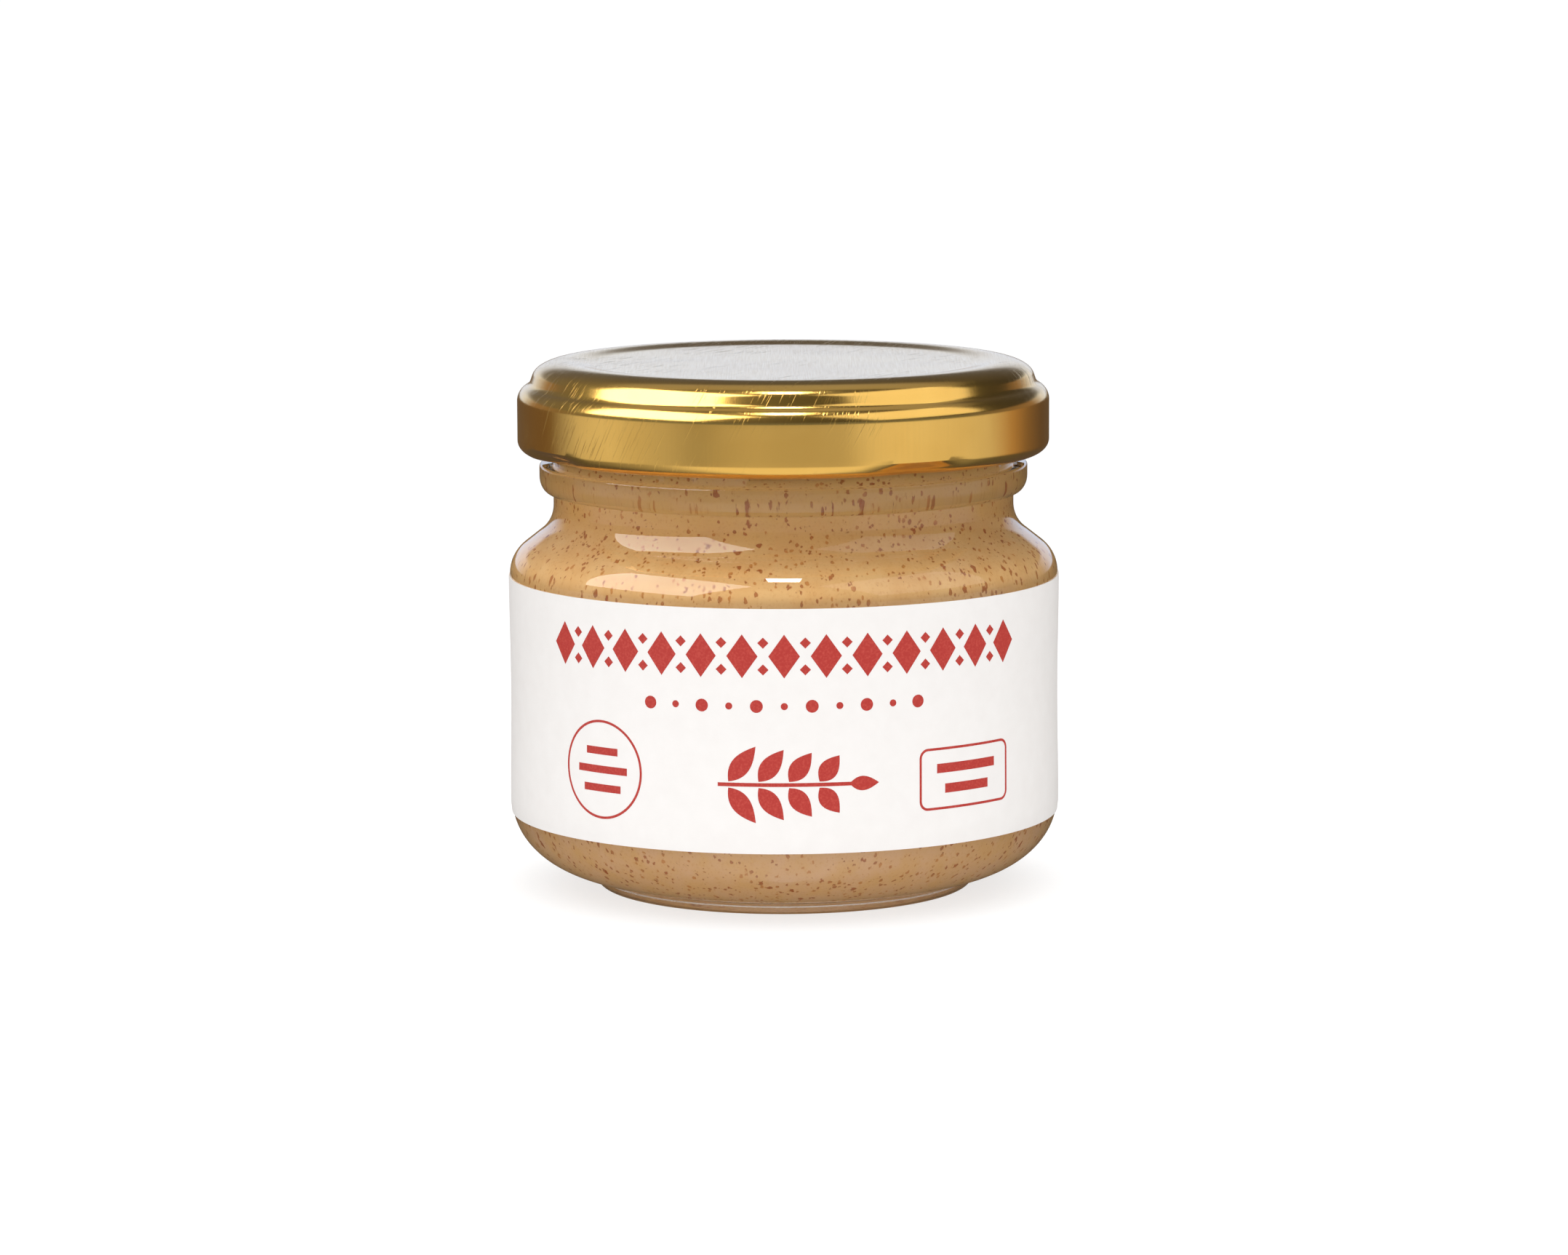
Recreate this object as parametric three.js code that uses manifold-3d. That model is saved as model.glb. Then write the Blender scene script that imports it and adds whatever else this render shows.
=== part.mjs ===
// A small glass jar of peanut butter with a gold twist-off lid and a wrap-round paper label.
// Millimetres, +Z up. The origin is on the jar's axis, at the plane it stands on, and -Y is the front.
import * as THREE from "three";
import { mergeVertices } from "three/addons/utils/BufferGeometryUtils.js";
import Module from "manifold-3d";

const wasm = await Module();
wasm.setup();

// Facets round the axis, the same on every turned piece so that their walls stay parallel,
// and along the curves of a profile.
const SIDES = 48;
const BROAD_STEPS = 7;
const ROUND_STEPS = 4;
const EDGE_STEPS = 3;
const CORNER_STEPS = 2;

// Glass, outside
const FOOT_INNER_RADIUS = 19.6; // ring that touches the table
const FOOT_OUTER_RADIUS = 21.1;
const FOOT_RADIUS = 21.9;
const FOOT_HEIGHT = 1.45;
const FOOT_ROUND_HEIGHT = 0.8;
const GROOVE_DEPTH = 0.3; // fine groove between the foot and the heel
const PUSH_UP = 1.4; // height of the hollow under the base
const BODY_RADIUS = 31.72;
const HEEL_WIDTH = 10.7;
const HEEL_HEIGHT = 8.55;
const WAIST_DEPTH = 0.14; // how far the label panel is drawn in
const WAIST_STEPS = 6;
const SHOULDER_Z = 36.5;
const SHOULDER_ROUND = 4.1;
const SHOULDER_SLOPE = 52; // degrees from upright
const NECK_ROUND = 4.0;
const NECK_RADIUS = 26.6;
const COLLAR_RADIUS = 28.2; // bead below the lid
const COLLAR_BOTTOM = 45.9;
const COLLAR_TOP = 49.2;
const COLLAR_ROUND_WIDTH = 1.25;
const COLLAR_ROUND_HEIGHT = 1.85;
const COLLAR_EDGE = 0.35;

// Glass, inside
const WALL = 2.4;
const FLOOR_Z = 4.4;
const INNER_HEEL_WIDTH = 9.0;
const INNER_HEEL_HEIGHT = 6.8;
const RIM_ROUND_HEIGHT = 0.9;

// Thread ridges on the neck, one above each lug of the lid
const LUG_COUNT = 4;
const FIRST_LUG = 30; // degrees from the front, towards +X
const RIDGE_RADIUS = 1.3;
const RIDGE_REACH = 28.15; // radius of the thread's crest
const RIDGE_SWEEP = 76; // degrees
const RIDGE_LOW_Z = 51.2;
const RIDGE_RISE = 2.4;
const RIDGE_STEPS = 6;
const RIDGE_SIDES = 6;

// Lid
const HEIGHT = 61.05; // the lid's crest, and the height of the whole jar
const LID_RADIUS = 30.7;
const LID_WALL = 0.3;
const LID_BOTTOM = 50.4;
const CURL_HEIGHT = 1.55;
const CURL_WIDTH = 1.8;
const CURL_INNER_ROUND = 0.4;
const STEP_Z = 56.48; // top of the straight skirt
const STEP_ROUND = 1.89;
const STEP_FILLET = 1.12;
const STEP_SLOPE = 62.3; // degrees that the step's corner turns before its fillet turns back
const RISER_LEAN = 19.9; // degrees from upright
const CROWN_WIDTH = 3.87;
const CROWN_HEIGHT = 1.94;
const PANEL_RADIUS = 21.5;
const PANEL_DROP = 0.35;
const LUG_DEPTH = 1.0;
const LUG_HALF_WIDTH = 14; // degrees

// Label
const LABEL_BOTTOM = 8.8;
const LABEL_TOP = 36.3;
const LABEL_THICKNESS = 0.12;
const LABEL_GAP = 6; // between its ends, at the back

// Peanut butter
const BUTTER_TOP = 55;

// Clear space between pieces that touch
const CLEARANCE = 0.05;

const HEEL_TOP = FOOT_HEIGHT + HEEL_HEIGHT;
const HEEL_CENTRE_RADIUS = BODY_RADIUS - HEEL_WIDTH;
const PANEL_Z = HEIGHT - PANEL_DROP;
const RIM_TOP = PANEL_Z - LID_WALL - CLEARANCE;

// Points of an elliptical arc in the (radius, height) plane, angles in degrees from outwards.
function arc(r, z, width, height, from, to, steps) {
  return Array.from({ length: steps + 1 }, (_, i) => {
    const angle = THREE.MathUtils.degToRad(from + ((to - from) * i) / steps);
    return new THREE.Vector2(r + width * Math.cos(angle), z + height * Math.sin(angle));
  });
}

function point(r, z) {
  return new THREE.Vector2(r, z);
}

// Turns a profile of (radius, height) points about the Z axis.
function revolve(profile) {
  return new THREE.LatheGeometry(profile, SIDES).rotateX(Math.PI / 2);
}

// A closed geometry as a solid that can be joined and cut.
function toSolid(geometry) {
  const bare = geometry.clone();
  bare.deleteAttribute("normal");
  bare.deleteAttribute("uv");
  const merged = mergeVertices(bare, 1e-4);
  return new wasm.Manifold(
    new wasm.Mesh({
      numProp: 3,
      vertProperties: merged.getAttribute("position").array,
      triVerts: new Uint32Array(merged.index.array),
    }),
  );
}

function toGeometry(solid) {
  const mesh = solid.getMesh();
  return new THREE.BufferGeometry()
    .setAttribute("position", new THREE.BufferAttribute(mesh.vertProperties, 3))
    .setIndex(new THREE.BufferAttribute(mesh.triVerts, 1));
}

// The glass body's outer radius at a height on the heel or the label panel.
function bodyRadius(z) {
  if (z < HEEL_TOP) {
    const drop = (HEEL_TOP - z) / HEEL_HEIGHT;
    return HEEL_CENTRE_RADIUS + HEEL_WIDTH * Math.sqrt(1 - drop * drop);
  }
  const along = (z - HEEL_TOP) / (SHOULDER_Z - HEEL_TOP);
  return BODY_RADIUS - (WAIST_DEPTH * (1 - Math.cos(2 * Math.PI * along))) / 2;
}

// Heights up the label panel, where both the glass and the label have their points.
function panelHeights() {
  return Array.from({ length: WAIST_STEPS }, (_, i) => {
    return HEEL_TOP + ((SHOULDER_Z - HEEL_TOP) * i) / WAIST_STEPS;
  });
}

// The S-shaped shoulder from the body up to the neck, moved inwards from the outer surface by inset.
function shoulder(inset) {
  const slope = THREE.MathUtils.degToRad(SHOULDER_SLOPE);
  const outerRound = SHOULDER_ROUND - inset;
  const neckRound = NECK_ROUND + inset;
  const outer = arc(
    BODY_RADIUS - SHOULDER_ROUND, SHOULDER_Z, outerRound, outerRound, 0, SHOULDER_SLOPE, ROUND_STEPS,
  );
  const start = outer[outer.length - 1];
  const neckCentre = NECK_RADIUS + NECK_ROUND;
  const lineLength = (start.x - neckCentre + neckRound * Math.cos(slope)) / Math.sin(slope);
  const neckZ = start.y + lineLength * Math.cos(slope) + neckRound * Math.sin(slope);
  return [
    ...outer,
    ...arc(neckCentre, neckZ, neckRound, neckRound, 180 + SHOULDER_SLOPE, 180, ROUND_STEPS),
  ];
}

// The jar's inside from the axis at the floor up to a height in the neck, moved inwards by inset.
function cavity(inset, top) {
  const innerRadius = BODY_RADIUS - WALL;
  const heel = arc(
    innerRadius - INNER_HEEL_WIDTH, FLOOR_Z + INNER_HEEL_HEIGHT,
    INNER_HEEL_WIDTH - inset, INNER_HEEL_HEIGHT - inset, -90, 0, BROAD_STEPS,
  );
  return [
    point(0, FLOOR_Z + inset),
    ...heel,
    ...shoulder(WALL + inset),
    point(NECK_RADIUS - WALL - inset, top),
  ];
}

// The outside of the glass, from the axis under the base up to the top of the neck wall.
function glassOutside() {
  const underside = Array.from({ length: ROUND_STEPS }, (_, i) => {
    const r = (FOOT_INNER_RADIUS * i) / ROUND_STEPS;
    return point(r, PUSH_UP * (1 - (r / FOOT_INNER_RADIUS) ** 2));
  });
  const footCorner = FOOT_RADIUS - FOOT_OUTER_RADIUS;
  const grooveRadius = FOOT_RADIUS - GROOVE_DEPTH;
  const heelStart = -THREE.MathUtils.radToDeg(Math.acos((FOOT_RADIUS - HEEL_CENTRE_RADIUS) / HEEL_WIDTH));
  return [
    ...underside,
    point(FOOT_INNER_RADIUS, 0),
    ...arc(FOOT_OUTER_RADIUS, FOOT_ROUND_HEIGHT, footCorner, FOOT_ROUND_HEIGHT, -90, 0, EDGE_STEPS),
    point(FOOT_RADIUS, FOOT_HEIGHT - 2 * GROOVE_DEPTH),
    point(grooveRadius, FOOT_HEIGHT - GROOVE_DEPTH),
    ...arc(HEEL_CENTRE_RADIUS, HEEL_TOP, HEEL_WIDTH, HEEL_HEIGHT, heelStart, 0, BROAD_STEPS),
    ...panelHeights().slice(1).map((z) => point(bodyRadius(z), z)),
    ...shoulder(0),
    point(NECK_RADIUS, COLLAR_BOTTOM),
    ...arc(
      COLLAR_RADIUS - COLLAR_ROUND_WIDTH, COLLAR_BOTTOM + COLLAR_ROUND_HEIGHT,
      COLLAR_ROUND_WIDTH, COLLAR_ROUND_HEIGHT, -90, 0, EDGE_STEPS,
    ),
    point(COLLAR_RADIUS, COLLAR_TOP - COLLAR_EDGE),
    point(COLLAR_RADIUS - COLLAR_EDGE, COLLAR_TOP),
    point(NECK_RADIUS, COLLAR_TOP),
  ];
}

// Path of one thread ridge, climbing round the neck.
class RidgePath extends THREE.Curve {
  constructor(middle) {
    super();
    this.middle = middle;
  }

  getPoint(t, target = new THREE.Vector3()) {
    const angle = THREE.MathUtils.degToRad(this.middle + RIDGE_SWEEP * (t - 0.5));
    const r = RIDGE_REACH - RIDGE_RADIUS;
    return target.set(r * Math.sin(angle), -r * Math.cos(angle), RIDGE_LOW_Z + RIDGE_RISE * t);
  }
}

function threadRidge(middle) {
  const section = new THREE.Shape().setFromPoints(
    Array.from({ length: RIDGE_SIDES }, (_, i) => {
      const angle = (2 * Math.PI * i) / RIDGE_SIDES;
      return point(RIDGE_RADIUS * Math.cos(angle), RIDGE_RADIUS * Math.sin(angle));
    }),
  );
  return new THREE.ExtrudeGeometry(section, {
    steps: RIDGE_STEPS,
    extrudePath: new RidgePath(middle),
  });
}

function lugAngles() {
  return Array.from({ length: LUG_COUNT }, (_, i) => FIRST_LUG + (360 * i) / LUG_COUNT);
}

function glassJar() {
  const bore = NECK_RADIUS - WALL;
  const rimWidth = WALL / 2;
  const rimZ = RIM_TOP - RIM_ROUND_HEIGHT;
  const rim = arc(bore + rimWidth, rimZ, rimWidth, RIM_ROUND_HEIGHT, 0, 180, ROUND_STEPS);
  const wall = toSolid(revolve([...glassOutside(), ...rim, ...cavity(0, COLLAR_TOP).reverse()]));
  const threaded = lugAngles().reduce((jar, angle) => jar.add(toSolid(threadRidge(angle))), wall);
  return toGeometry(threaded);
}

function peanutButter() {
  return revolve([...cavity(CLEARANCE, BUTTER_TOP), point(0, BUTTER_TOP)]);
}

function label() {
  const heights = [LABEL_BOTTOM, ...panelHeights(), LABEL_TOP];
  const inside = heights.map((z) => point(bodyRadius(z) + CLEARANCE, z));
  const outside = inside.map((p) => point(p.x + LABEL_THICKNESS, p.y));
  const band = revolve([inside[0], ...outside, ...inside.reverse()]);
  const height = LABEL_TOP - LABEL_BOTTOM;
  const gap = new THREE.BoxGeometry(LABEL_GAP, BODY_RADIUS, 2 * height).translate(
    0, BODY_RADIUS, (LABEL_TOP + LABEL_BOTTOM) / 2,
  );
  return toGeometry(toSolid(band).subtract(toSolid(gap)));
}

// One face of the lid's sheet, from the top of the skirt up over the crown to the axis. The step's
// corner runs through a fillet into the leaning riser, which meets the crown's ellipse smoothly.
function lidFace(inset) {
  const slope = THREE.MathUtils.degToRad(STEP_SLOPE);
  const lean = THREE.MathUtils.degToRad(RISER_LEAN);
  const filletReach = STEP_ROUND + STEP_FILLET;
  const filletRadius = LID_RADIUS - STEP_ROUND + filletReach * Math.cos(slope);
  const filletZ = STEP_Z + filletReach * Math.sin(slope);
  const crownZ = HEIGHT - CROWN_HEIGHT;
  const crownFoot = Math.atan((Math.tan(lean) * CROWN_HEIGHT) / CROWN_WIDTH);
  const footRise = crownZ + CROWN_HEIGHT * Math.sin(crownFoot) - filletZ;
  const footRadius = filletRadius - (STEP_FILLET + footRise * Math.sin(lean)) / Math.cos(lean);
  const crownRadius = footRadius - CROWN_WIDTH * Math.cos(crownFoot);
  const corner = STEP_ROUND - inset;
  const fillet = STEP_FILLET + inset;
  const from = THREE.MathUtils.radToDeg(crownFoot);
  return [
    ...arc(LID_RADIUS - STEP_ROUND, STEP_Z, corner, corner, 0, STEP_SLOPE, EDGE_STEPS),
    ...arc(filletRadius, filletZ, fillet, fillet, 180 + STEP_SLOPE, 180 + RISER_LEAN, CORNER_STEPS).slice(1),
    ...arc(crownRadius, crownZ, CROWN_WIDTH - inset, CROWN_HEIGHT - inset, from, 90, ROUND_STEPS),
    point((crownRadius + PANEL_RADIUS) / 2, HEIGHT - PANEL_DROP / 2 - inset),
    point(PANEL_RADIUS, PANEL_Z - inset),
    point(0, PANEL_Z - inset),
  ];
}

// Presses the curled edge inwards at each lug, as the lid's sheet is.
function pressLugs(geometry) {
  const position = geometry.getAttribute("position");
  const curlTop = LID_BOTTOM + CURL_HEIGHT;
  const pitch = 360 / LUG_COUNT;
  for (let i = 0; i < position.count; i++) {
    const x = position.getX(i);
    const y = position.getY(i);
    const depth = (curlTop - position.getZ(i)) / CURL_HEIGHT;
    const angle = THREE.MathUtils.radToDeg(Math.atan2(x, -y));
    const offset = THREE.MathUtils.euclideanModulo(angle - FIRST_LUG + pitch / 2, pitch) - pitch / 2;
    if (depth <= 0 || Math.abs(offset) >= LUG_HALF_WIDTH) {
      continue;
    }
    const across = Math.cos((Math.PI * offset) / (2 * LUG_HALF_WIDTH)) ** 2;
    const scale = 1 - (LUG_DEPTH * Math.min(1, 2 * depth) * across) / Math.hypot(x, y);
    position.setXY(i, x * scale, y * scale);
  }
  return geometry;
}

function lid() {
  const curlTop = LID_BOTTOM + CURL_HEIGHT;
  const curlRadius = LID_RADIUS - CURL_WIDTH;
  const curlInnerZ = LID_BOTTOM + CURL_INNER_ROUND;
  return pressLugs(
    revolve([
      ...lidFace(LID_WALL).reverse(),
      point(LID_RADIUS - LID_WALL, curlTop + CURL_INNER_ROUND),
      ...arc(curlRadius, curlInnerZ, CURL_INNER_ROUND, CURL_INNER_ROUND, 90, 270, EDGE_STEPS),
      ...arc(curlRadius, curlTop, CURL_WIDTH, CURL_HEIGHT, -90, 0, ROUND_STEPS).slice(1),
      ...lidFace(0),
    ]),
  );
}

function part(name, geometry, material) {
  const mesh = new THREE.Mesh(geometry, new THREE.MeshStandardMaterial(material));
  mesh.name = name;
  return mesh;
}

const jar = new THREE.Group();
jar.add(
  part("glass_jar", glassJar(), {
    color: 0xe8efec, roughness: 0.03, metalness: 0, transparent: true, opacity: 0.3,
  }),
  part("peanut_butter", peanutButter(), { color: 0xcf9f6b, roughness: 0.5, metalness: 0 }),
  part("lid", lid(), { color: 0xd9ad52, roughness: 0.22, metalness: 1 }),
  part("label", label(), { color: 0xf3efec, roughness: 0.75, metalness: 0 }),
);

export default jar;
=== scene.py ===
"""Looks of a small glass jar of peanut butter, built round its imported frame.

The jar stands on the world's origin with the front of its label towards -Y. Pieces are modelled in
millimetres and scaled to metres when their meshes are finished.
"""

import logging
import math
from dataclasses import dataclass, field
from enum import Enum

import bmesh
import bpy
from mathutils import Matrix, Vector


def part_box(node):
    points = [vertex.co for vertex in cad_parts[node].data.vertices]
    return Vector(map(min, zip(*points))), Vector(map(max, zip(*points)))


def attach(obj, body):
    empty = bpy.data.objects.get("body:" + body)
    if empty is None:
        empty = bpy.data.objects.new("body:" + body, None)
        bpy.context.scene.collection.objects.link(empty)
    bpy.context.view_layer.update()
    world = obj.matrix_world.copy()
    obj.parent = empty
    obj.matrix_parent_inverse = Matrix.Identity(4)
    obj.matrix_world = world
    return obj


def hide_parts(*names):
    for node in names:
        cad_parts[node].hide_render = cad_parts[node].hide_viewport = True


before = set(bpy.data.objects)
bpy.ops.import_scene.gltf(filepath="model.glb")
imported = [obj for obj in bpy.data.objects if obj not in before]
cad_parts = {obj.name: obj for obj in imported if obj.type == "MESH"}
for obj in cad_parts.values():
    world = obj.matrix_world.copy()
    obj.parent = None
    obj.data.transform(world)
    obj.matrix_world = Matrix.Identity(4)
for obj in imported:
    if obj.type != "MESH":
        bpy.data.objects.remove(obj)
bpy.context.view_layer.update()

MM = 0.001
CREASE = 35.0
BODY = "root"
UNROLLED = "unrolled"
LOG = logging.getLogger("jar")

Point = tuple[float, float]
Profile = list[Point]
Colour = tuple[float, float, float]


class Slot(Enum):
    """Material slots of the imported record."""

    GLASS = "glass"
    BUTTER = "peanut_butter"
    LID = "gold_lid"
    LABEL = "label_paper"


class Node(Enum):
    """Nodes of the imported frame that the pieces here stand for."""

    JAR = "glass_jar"
    BUTTER = "peanut_butter"
    LID = "lid"
    LABEL = "label"


def node_reach(node: Node) -> tuple[float, float, float]:
    """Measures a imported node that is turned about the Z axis.

    Args:
        node: The node to measure.

    Returns:
        Its radius, lowest and highest point, in millimetres.
    """
    low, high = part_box(node.value)
    return high.x / MM, low.z / MM, high.z / MM


def arc(centre: Point, radii: Point, start: float, end: float, steps: int) -> Profile:
    """Makes the points of an elliptical arc in the (radius, height) plane.

    Args:
        centre: Centre of the ellipse.
        radii: Its half width and half height.
        start: First angle in degrees, counted from outwards to up.
        end: Last angle in degrees.
        steps: Number of stretches between the points.

    Returns:
        The points, from start to end.
    """
    points = []
    for i in range(steps + 1):
        angle = math.radians(start + (end - start) * i / steps)
        points.append((centre[0] + radii[0] * math.cos(angle), centre[1] + radii[1] * math.sin(angle)))
    return points


def add_outline(work: bmesh.types.BMesh, points: Profile, closed: bool) -> list:
    """Draws a profile in the front half plane of a bmesh.

    Args:
        work: The bmesh to draw in.
        points: The profile.
        closed: Whether the last point joins the first.

    Returns:
        The new vertices and edges.
    """
    verts = [work.verts.new((0.0, -r, z)) for r, z in points]
    ends = verts[1:] + verts[:1] if closed else verts[1:]
    return verts + [work.edges.new(pair) for pair in zip(verts, ends)]


def turn(points: Profile, steps: int) -> bmesh.types.BMesh:
    """Spins a profile about the jar's axis into a closed skin.

    Args:
        points: A profile that starts and ends on the axis.
        steps: Number of facets round the axis.

    Returns:
        A new bmesh in millimetres, with its faces pointing outwards.
    """
    work = bmesh.new()
    outline = add_outline(work, points, closed=False)
    bmesh.ops.spin(
        work, geom=outline, cent=(0, 0, 0), axis=(0, 0, 1), angle=math.tau, steps=steps, use_merge=True
    )
    bmesh.ops.remove_doubles(work, verts=work.verts, dist=1e-4)
    bmesh.ops.recalc_face_normals(work, faces=work.faces)
    return work


def finish_mesh(work: bmesh.types.BMesh, name: str) -> bpy.types.Object:
    """Turns a bmesh in millimetres into a smooth-shaded object in metres, with sharp creases.

    Args:
        work: The finished bmesh, which is freed.
        name: Name of the piece.

    Returns:
        The new object, at the origin.
    """
    bmesh.ops.scale(work, vec=(MM, MM, MM), verts=work.verts)
    mesh = bpy.data.meshes.new(name)
    work.to_mesh(mesh)
    work.free()
    mesh.shade_smooth()
    mesh.set_sharp_from_angle(angle=math.radians(CREASE))
    piece = bpy.data.objects.new(name, mesh)
    bpy.context.scene.collection.objects.link(piece)
    return piece


def place(piece: bpy.types.Object, slot: Slot, *nodes: Node) -> None:
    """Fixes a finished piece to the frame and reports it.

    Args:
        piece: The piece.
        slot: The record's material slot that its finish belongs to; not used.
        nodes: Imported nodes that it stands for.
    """
    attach(piece, BODY)
    if nodes:
        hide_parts(*[node.value for node in nodes])
    LOG.info("%s: %d faces", piece.name, len(piece.data.polygons))


class Graph:
    """Adds nodes to a node tree and joins them up."""

    def __init__(self, tree: bpy.types.NodeTree) -> None:
        """Keeps the tree to add to."""
        self.tree = tree

    def add(self, kind: str, **settings: object) -> bpy.types.Node:
        """Adds a node.

        Args:
            kind: Blender's name for the node type.
            settings: Attributes of the node to set.

        Returns:
            The new node.
        """
        node = self.tree.nodes.new(kind)
        for key, value in settings.items():
            setattr(node, key, value)
        return node

    def join(self, value: object, socket: bpy.types.NodeSocket) -> None:
        """Sets an input to a constant, or links a socket to it.

        Args:
            value: The constant or the socket.
            socket: The input.
        """
        if isinstance(value, bpy.types.NodeSocket):
            self.tree.links.new(value, socket)
        else:
            socket.default_value = value

    def feed(self, node: bpy.types.Node, **inputs: object) -> bpy.types.Node:
        """Sets or links a node's inputs by name, with spaces written as underscores.

        Args:
            node: The node to feed.
            inputs: A number, colour or vector to set, or a socket to link.

        Returns:
            The same node.
        """
        for key, value in inputs.items():
            self.join(value, node.inputs[key.replace("_", " ")])
        return node

    def split(self, vector: bpy.types.NodeSocket) -> bpy.types.bpy_prop_collection:
        """Gives the X, Y and Z of a vector."""
        return self.feed(self.add("ShaderNodeSeparateXYZ"), Vector=vector).outputs

    def remap(
        self, value: bpy.types.NodeSocket, source: Point, target: Point = (0.0, 1.0), smooth: bool = False
    ) -> bpy.types.NodeSocket:
        """Maps one range of values to another and clamps it.

        Args:
            value: The value to map.
            source: Range that is read.
            target: Range that is given.
            smooth: Whether the ends are eased.

        Returns:
            A value socket.
        """
        node = self.add("ShaderNodeMapRange", interpolation_type="SMOOTHSTEP" if smooth else "LINEAR")
        self.tree.links.new(value, node.inputs["Value"])
        for name, number in zip(("From Min", "From Max", "To Min", "To Max"), (*source, *target)):
            node.inputs[name].default_value = number
        return node.outputs["Result"]

    def blend(self, share: bpy.types.NodeSocket, first: object, second: object) -> bpy.types.NodeSocket:
        """Mixes two colours.

        Args:
            share: Share of the second colour.
            first: A colour or a colour socket.
            second: A colour or a colour socket.

        Returns:
            A colour socket.
        """
        node = self.add("ShaderNodeMix", data_type="RGBA")
        self.tree.links.new(share, node.inputs[0])
        for value, socket in ((first, node.inputs[6]), (second, node.inputs[7])):
            self.join(value if isinstance(value, bpy.types.NodeSocket) else (*value, 1.0), socket)
        return node.outputs[2]

    def maths(self, operation: str, first: object, second: object) -> bpy.types.NodeSocket:
        """Combines two numbers.

        Args:
            operation: Blender's name for the operation.
            first: A number or a value socket.
            second: A number or a value socket.

        Returns:
            A value socket.
        """
        node = self.add("ShaderNodeMath", operation=operation)
        for value, socket in zip((first, second), node.inputs):
            self.join(value, socket)
        return node.outputs[0]


class Shader(Graph):
    """The node tree of one new material with a Principled surface."""

    def __init__(self, name: str) -> None:
        """Starts the material.

        Args:
            name: Name of the material.
        """
        self.material = bpy.data.materials.new(name)
        self.material.use_nodes = True
        super().__init__(self.material.node_tree)
        self.surface = self.tree.nodes["Principled BSDF"]
        self.output = self.tree.nodes["Material Output"]

    def millimetres(self, stretch: Colour = (1.0, 1.0, 1.0)) -> bpy.types.NodeSocket:
        """Gives the object's own coordinates in millimetres, stretched along X, Y and Z."""
        coordinates = self.add("ShaderNodeTexCoord").outputs["Object"]
        return self.mapped(coordinates, tuple(s / MM for s in stretch), 0.0)

    def unrolled(self, stretch: Colour, turn_deg: float) -> bpy.types.NodeSocket:
        """Gives the piece's own unrolled coordinates, which its UV map holds in millimetres.

        Args:
            stretch: Scale of the pattern along the unrolled axes.
            turn_deg: Turn of the pattern in the unrolled plane.

        Returns:
            A vector socket.
        """
        coordinates = self.add("ShaderNodeUVMap", uv_map=UNROLLED).outputs["UV"]
        return self.mapped(self.mapped(coordinates, (1.0, 1.0, 1.0), turn_deg), stretch, 0.0)

    def mapped(self, vector: bpy.types.NodeSocket, scale: Colour, turn_deg: float) -> bpy.types.NodeSocket:
        """Scales and turns a vector.

        Args:
            vector: The vector to map.
            scale: Factors along X, Y and Z.
            turn_deg: Turn about Z.

        Returns:
            A vector socket.
        """
        mapping = self.add("ShaderNodeMapping")
        angle = math.radians(turn_deg)
        self.feed(mapping, Vector=vector, Rotation=(0.0, 0.0, angle), Scale=scale)
        return mapping.outputs["Vector"]

    def noise(self, vector: bpy.types.NodeSocket, scale: float, detail: float) -> bpy.types.NodeSocket:
        """Adds a noise texture.

        Args:
            vector: Where the pattern is read.
            scale: Waves per unit of the vector.
            detail: Octaves of finer noise.

        Returns:
            A value socket from 0 to 1.
        """
        texture = self.add("ShaderNodeTexNoise")
        return self.feed(texture, Vector=vector, Scale=scale, Detail=detail).outputs["Fac"]

    def bump(self, height: bpy.types.NodeSocket, depth_mm: float) -> None:
        """Gives the surface a relief, on top of any that it has.

        Args:
            height: Height of the relief, from 0 to 1.
            depth_mm: Depth of the relief in millimetres.
        """
        node = self.add("ShaderNodeBump")
        self.feed(node, Height=height, Distance=depth_mm * MM, Strength=1.0)
        below = self.surface.inputs["Normal"]
        if below.is_linked:
            self.tree.links.new(below.links[0].from_socket, node.inputs["Normal"])
        self.tree.links.new(node.outputs["Normal"], below)


@dataclass(frozen=True)
class GlassFinish:
    """Clear flint glass with the faint waves of a moulded jar and a stippled foot."""

    refraction: float = 1.5
    tint: Colour = (0.72, 0.86, 0.78)
    tint_per_metre: float = 9.0
    wave_scale: float = 0.16
    wave_depth: float = 0.02
    stipple_below: Point = (0.2, 1.3)
    stipple: float = 0.15

    def material(self) -> bpy.types.Material:
        """Builds the glass, clear all over and faintly stippled round the foot.

        Returns:
            The material.
        """
        shader = Shader("clear_glass")
        height = shader.split(shader.millimetres())["Z"]
        stipple = shader.remap(height, self.stipple_below, (self.stipple, 0.0))
        shader.feed(
            shader.surface, Base_Color=(1.0, 1.0, 1.0, 1.0), Roughness=stipple, IOR=self.refraction,
            Transmission_Weight=1.0,
        )
        waves = shader.noise(shader.millimetres(), self.wave_scale, 1.0)
        shader.bump(waves, self.wave_depth)
        absorption = shader.add("ShaderNodeVolumeAbsorption")
        shader.feed(absorption, Color=(*self.tint, 1.0), Density=self.tint_per_metre)
        shader.tree.links.new(absorption.outputs["Volume"], shader.output.inputs["Volume"])
        return shader.material


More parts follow.
